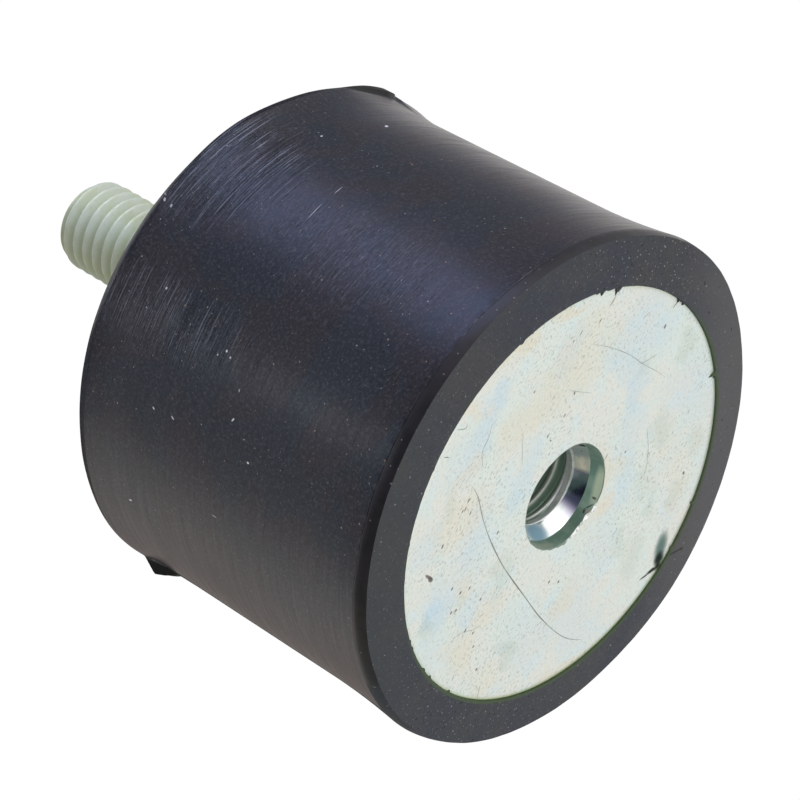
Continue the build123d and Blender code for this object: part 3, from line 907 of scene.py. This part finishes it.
# The stud: rounded tip, rolled thread with soft grooves, plain run-out, neck and head.
# Radius = the smaller of the thread's and the tip's, which falls off by a square.
# The shank stands slightly aside.
def makeStud(s):
    angles = np.linspace(-180, 180, s["columns"], endpoint=False)
    tip, major, core = -s["length"], thread["major"], thread["coreOutside"]
    rows = [(2.0, tip), (major - s["tipDrop"] - 0.16, tip + 0.03)]
    for height in np.linspace(tip + 0.08, -0.02, 300):
        fade = ease(-height, 0.3, s["runOut"])  # the thread runs out by the plate
        groove = (major - core) * (1 - threadForm(height, angles, 0.0, 0.0)) * fade
        shank = major - s["crestLoss"] - groove
        end = major - s["tipLoss"] - s["tipDrop"] * np.clip(1 - (height - tip) / s["tipLength"], 0, 1) ** 2
        rows.append((np.minimum(shank, end), np.full(angles.shape, height)))
    neck, seat = s["neck"], plate["thickness"]
    head, top, chamfer = rubber["headRadius"], rubber["headTop"], rubber["headChamfer"]
    rows += [(major, 0.0), (neck, 0.002), (neck, seat), (head, seat)]
    rows += [(head, top - chamfer), (head - chamfer, top)]
    grid = turned(rows, angles)
    lean = -np.clip(grid[..., 2], tip, 0) / s["length"]
    grid[..., 0] += s["aside"] * (ease(-grid[..., 2], 0.0, 0.4) + 1.1 * lean)
    grid[..., 1] -= 0.16 * lean
    return skin("threadedStud", grid, crease=60)


def makeStudZinc():
    t = Tree("studZinc")
    mottle = t.noise(t.place, 0.3, 3.0, 0.6)
    fine = t.noise(t.place, 2.2, 3.0, 0.6)
    t.tone = t.mix(t.step(mottle, 0.35, 0.65), (0.66, 0.72, 0.64), (0.6, 0.64, 0.48))
    # painted shade in the thread's grooves, darker towards the core
    t.over((0.4, 0.46, 0.32), t.step(t.reach(), 4.75, 4.2), 0.6)
    t.over((0.46, 0.47, 0.33), t.step(t.towards(-20, 5.0), 0.1, 1.0), 0.45)
    t.over((0.42, 0.44, 0.36), t.step(fine, 0.55, 0.72), 0.25)
    return t.made(Metallic=0.4, Roughness=0.5, Normal=t.bump(fine, 0.04, 0.3))


finish(makeStud(stud), [makeStudZinc()], "stud_zinc", "stud")

# the stud plate keeps its solid, with the plain plating
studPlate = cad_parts["stud_plate"]
studPlate.data.materials.clear()
studPlate.data.materials.append(makeZinc("zincBack", marked=False))


scratches = {
    "lift": 0.012,
    "sink": 0.02,
    "lines": (
        # half width, then the points that the line passes
        (0.052, (
            (3.24, -14.74), (3.51, -13.1), (4.27, -11.75), (5.19, -10.47), (6.29, -8.42), (7.25, -6.27),
            (8.31, -3.52), (9.11, -0.77), (9.8, 1.9), (10.96, 6.09), (11.56, 9.49), (11.78, 12.29),
            (11.45, 14.28), (11.01, 15.39),
        )),
        (0.022, (
            (-12.98, -9.22), (-13.81, -5.74), (-14.26, -2.15), (-14.12, 0.34), (-14.32, 2.49),
            (-14.29, 5.19),
        )),
        (0.02, ((-13.92, -0.22), (-14.84, 0.86), (-15.79, 1.65))),
        (0.018, ((-8.42, -8.43), (-8.83, -6.65), (-9.4, -4.77))),
        (0.014, ((-3.19, -11.4), (-1.59, -9.86), (-0.37, -8.72))),
        (0.014, ((-2.27, -16.18), (-1.19, -15.54), (0.23, -15.49), (1.55, -13.92))),
        (0.032, ((-0.3, -20.5), (-0.6, -19.8), (-0.8, -19.35), (-1.05, -19.3), (-1.25, -19.6))),
        (0.045, ((2.35, -20.05), (2.18, -19.75), (2.1, -19.35))),
        (0.02, ((19.1, 3.35), (19.83, 3.72), (20.56, 4.09))),
        (0.06, ((-19.95, 0.05), (-20.4, 0.07), (-20.9, 0.2))),
        (0.04, ((-5.5, 2.72), (-5.1, 2.72), (-4.75, 2.71))),
        (0.03, ((5.45, -2.16), (5.15, -2.19), (4.88, -2.22))),
        (0.016, ((-9.5, 6.2), (-8.2, 8.0), (-6.6, 9.6), (-5.2, 10.2))),
        (0.014, ((16.4, -4.6), (15.4, -3.7), (14.9, -2.4), (14.0, -1.6))),
    ),
}


# A sliver along a line: a triangle of half width w carried along the points' running mean, tapering at
# both ends.
def makeScratches(s):
    points, faces = [], []
    for width, line in s["lines"]:
        line = np.array(line)
        gaps = np.concatenate([[0], np.cumsum(np.linalg.norm(np.diff(line, axis=0), axis=1))])
        count = int(np.clip(gaps[-1] * 4, 12, 120))
        t = np.linspace(0, 1, count)
        half = max(1, count // (2 * len(line)))
        weights = np.ones(2 * half + 1) / (2 * half + 1)
        path = [np.interp(t * gaps[-1], gaps, line[:, k]) for k in (0, 1)]
        path = np.stack([np.convolve(np.pad(p, half, mode="edge"), weights, "valid") for p in path], -1)
        ahead = np.gradient(path, axis=0)
        ahead /= np.linalg.norm(ahead, axis=1)[:, None]
        side = np.stack([-ahead[:, 1], ahead[:, 0]], -1)
        wide = width * np.sqrt(np.clip(np.sin(np.pi * t), 0.02, 1)) * (1 + 0.3 * np.sin(31 * t + width * 90))
        left, right = path + side * wide[:, None], path - side * wide[:, None]
        up, down = plate["top"] + s["lift"], plate["top"] - s["sink"]
        base = sum(len(p) for p in points)
        for edge, z in ((left, up), (right, up), (path, down)):
            points.append(np.column_stack([edge, np.full(count, z)]))
        a, b, c = (base + count * k + np.arange(count) for k in range(3))
        for p, q in ((a, b), (b, c), (c, a)):
            faces += np.stack([p[1:], p[:-1], q[:-1], q[1:]], -1).tolist()
        faces += [[a[0], c[0], b[0]], [a[-1], b[-1], c[-1]]]
    mesh = meshOf("plateScratches", np.vstack(points), [[int(i) for i in face] for face in faces])
    mesh.update()
    return placed("plateScratches", mesh)


def makeScratchGrey():
    t = Tree("scratchGrey")
    mottle = t.noise(t.place, 1.2, 3.0, 0.65, 0.3)
    t.tone = t.mix(t.step(mottle, 0.38, 0.66), (0.2, 0.21, 0.18), (0.3, 0.31, 0.28))
    return t.made(Metallic=0.3, Roughness=0.6, Normal=t.bump(mottle, 0.05, 0.4))


finish(makeScratches(scratches), [makeScratchGrey()], "plate_zinc")


studio = {
    "floorZ": -260.0,
    "floorSize": 6000.0,
    "roomRadius": 430.0,
    "roomLift": 20.0,
    "roomGap": 4.0,  # between the room and the floor
    "eye": (0.0, -251.721, 201.688),
    "right": (-0.49625, 0.51127, 0.70167),
    "down": (0.86818, 0.29269, 0.40074),
    "lens": 145.7,
    # lamps: name, azimuth, height, distance, width, height of panel, power, colour
    "lamps": (
        ("broadPanel", -137, -105, 210, 100, 190, 0.2, (0.47, 0.55, 1.0)),
        ("narrowPanel", -70, -105, 230, 26, 190, 0.042, (0.8, 0.9, 1.0)),
        ("topPanel", 60, 420, 260, 420, 420, 0.42, (1.0, 0.99, 0.96)),
        ("frontPanel", -90, 330, 330, 300, 200, 0.25, (1.0, 1.0, 1.0)),
        ("holePanel", -142, 165, 340, 130, 110, 0.07, (1.0, 1.0, 1.0)),
    ),
    # the room as gloss sees it: azimuth, then how bright low down and higher up, each red, green, blue
    "room": (
        (-180, (0.45, 0.45, 0.48), (1.3, 1.3, 1.3)), (-155, (0.7, 0.7, 0.75), (1.7, 1.7, 1.7)),
        (-128, (0.6, 0.62, 0.7), (1.7, 1.7, 1.7)), (-115, (0.55, 0.56, 0.62), (1.2, 1.16, 1.25)),
        (-102, (0.55, 0.55, 0.6), (0.36, 0.31, 0.46)), (-90, (0.6, 0.62, 0.7), (0.05, 0.055, 0.1)),
        (-60, (0.8, 0.82, 0.9), (0.03, 0.035, 0.06)), (-35, (0.85, 0.85, 0.9), (0.05, 0.055, 0.07)),
        (-18, (0.95, 0.95, 0.98), (0.2, 0.19, 0.16)), (-8, (1.45, 1.38, 1.3), (0.6, 0.55, 0.4)),
        (12, (1.2, 1.15, 1.1), (0.46, 0.44, 0.38)), (31, (0.72, 0.68, 0.66), (0.26, 0.31, 0.31)),
        (50, (0.44, 0.38, 0.36), (0.6, 0.62, 0.62)), (70, (0.42, 0.36, 0.34), (0.9, 0.9, 0.9)),
        (90, (0.38, 0.36, 0.35), (1.0, 1.0, 1.0)), (101, (0.85, 0.83, 0.8), (1.0, 1.0, 1.0)),
        (112, (1.25, 1.22, 1.18), (1.0, 1.0, 1.0)), (130, (0.92, 0.86, 0.84), (1.0, 1.0, 1.0)),
        (148, (0.42, 0.4, 0.42), (0.95, 0.95, 0.95)), (168, (0.38, 0.38, 0.42), (1.05, 1.05, 1.05)),
    ),
}


# pale floor and world: white to the camera and in reflections, plain to everything else
def whiteShare(tree):
    path = tree.nodes.new("ShaderNodeLightPath")
    total = path.outputs["Is Camera Ray"]
    for ray in ("Is Glossy Ray", "Is Transmission Ray"):
        join = tree.nodes.new("ShaderNodeMath")
        join.operation, join.use_clamp = "ADD", True
        tree.links.new(total, join.inputs[0])
        tree.links.new(path.outputs[ray], join.inputs[1])
        total = join.outputs[0]
    return total


# The room is a band of a sphere, flattened at the floor and met only by reflections: its colour goes smoothly
# round by azimuth, and from the low row's to the high row's between 28 and 12 degrees below the horizon.
def makeRoom(s):
    azimuth = np.linspace(-180, 180, 144, endpoint=False)
    rise = np.linspace(-80, 52, 67)
    level, way = np.radians(rise)[:, None], np.radians(azimuth)[None, :]
    flat = np.cos(level) * np.ones_like(way)
    points = np.stack([flat * np.cos(way), flat * np.sin(way), np.sin(level) * np.ones_like(way)], -1)
    points *= s["roomRadius"]
    points[..., 2] = np.maximum(points[..., 2] + s["roomLift"], s["floorZ"] + s["roomGap"])
    rows, cols = points.shape[:2]
    index = np.arange(rows * cols).reshape(rows, cols)
    quads = np.stack([index[:-1], index[1:], np.roll(index[1:], -1, 1), np.roll(index[:-1], -1, 1)], -1)
    mesh = meshOf("room", points.reshape(-1, 3), quads.reshape(-1, 4).tolist())
    low, high = (
        np.stack([stated(azimuth, [(row[0], row[k][c]) for row in s["room"]], 7.5) for c in range(3)], -1)
        for k in (1, 2)
    )
    share = ease(rise, -28, -12)[:, None, None]
    dim = (0.12 + 0.88 * ease(rise, -52, -43))[:, None, None]  # darker straight below
    glow = (low[None] * (1 - share) + high[None] * share) * dim
    shade = mesh.color_attributes.new("glow", "FLOAT_COLOR", "POINT")
    shade.data.foreach_set("color", np.concatenate([glow, np.ones((rows, cols, 1))], -1).ravel())
    t = Tree("roomGlow")
    seen = t.node("Attribute", {}, "Color", {"attribute_name": "glow"})
    mesh.materials.append(t.shown(t.node("Emission", {"Color": seen})))
    room = placed("room", mesh)
    room.visible_camera = room.visible_diffuse = room.visible_shadow = False
    room.visible_transmission = room.visible_volume_scatter = False


def makeStudio(s):
    half, z = s["floorSize"] / 2, s["floorZ"]
    corners = [(-half, -half, z), (half, -half, z), (half, half, z), (-half, half, z)]
    floor = placed("floor", meshOf("floor", corners, [(0, 1, 2, 3)]))
    t = Tree("paleFloor")
    t.tone = (0.8, 0.8, 0.8, 1)
    t.made(Roughness=0.9)
    white = t.node("Emission", {"Strength": 1.09})
    share = t.times(whiteShare(t.tree), 0.85)  # the rest keeps the shadow
    floor.data.materials.append(t.shown(t.node("MixShader", {0: share, 1: t.shader.outputs[0], 2: white})))

    world = bpy.data.worlds.new("studioWorld")
    world.use_nodes = True
    bpy.context.scene.world = world
    tree = world.node_tree
    sky = tree.nodes["Background"]
    level = tree.nodes.new("ShaderNodeMapRange")
    level.inputs["To Min"].default_value = 0.62
    level.inputs["To Max"].default_value = 1.0
    tree.links.new(whiteShare(tree), level.inputs["Value"])
    tree.links.new(level.outputs[0], sky.inputs["Strength"])
    sky.inputs["Color"].default_value = (1, 1, 1, 1)

    for name, azimuth, height, distance, width, tall, power, colour in s["lamps"]:
        lamp = bpy.data.lights.new(name, "AREA")
        lamp.shape, lamp.size, lamp.size_y = "RECTANGLE", width * mm, tall * mm
        lamp.energy, lamp.color = power, colour
        around = math.radians(azimuth)
        where = Vector((distance * math.cos(around), distance * math.sin(around), height)) * mm
        aim = Vector((0, 0, 20 * mm)) - where
        holder = placed(name, lamp)
        holder.location = where
        holder.rotation_euler = aim.to_track_quat("-Z", "Y").to_euler()
        holder.visible_camera = False

    right, down = Vector(s["right"]), Vector(s["down"])
    ahead = right.cross(down)
    view = bpy.data.cameras.new("camera")
    view.lens, view.sensor_width = s["lens"], 36.0
    view.clip_start, view.clip_end = 0.01, 20.0
    camera = placed("camera", view)
    turn = Matrix((right, -down, -ahead)).transposed().to_4x4()
    camera.matrix_world = Matrix.Translation(Vector(s["eye"]) * mm) @ turn
    bpy.context.scene.camera = camera
    bpy.context.scene.view_settings.view_transform = "Standard"


makeRoom(studio)
makeStudio(studio)
print("studio ready")
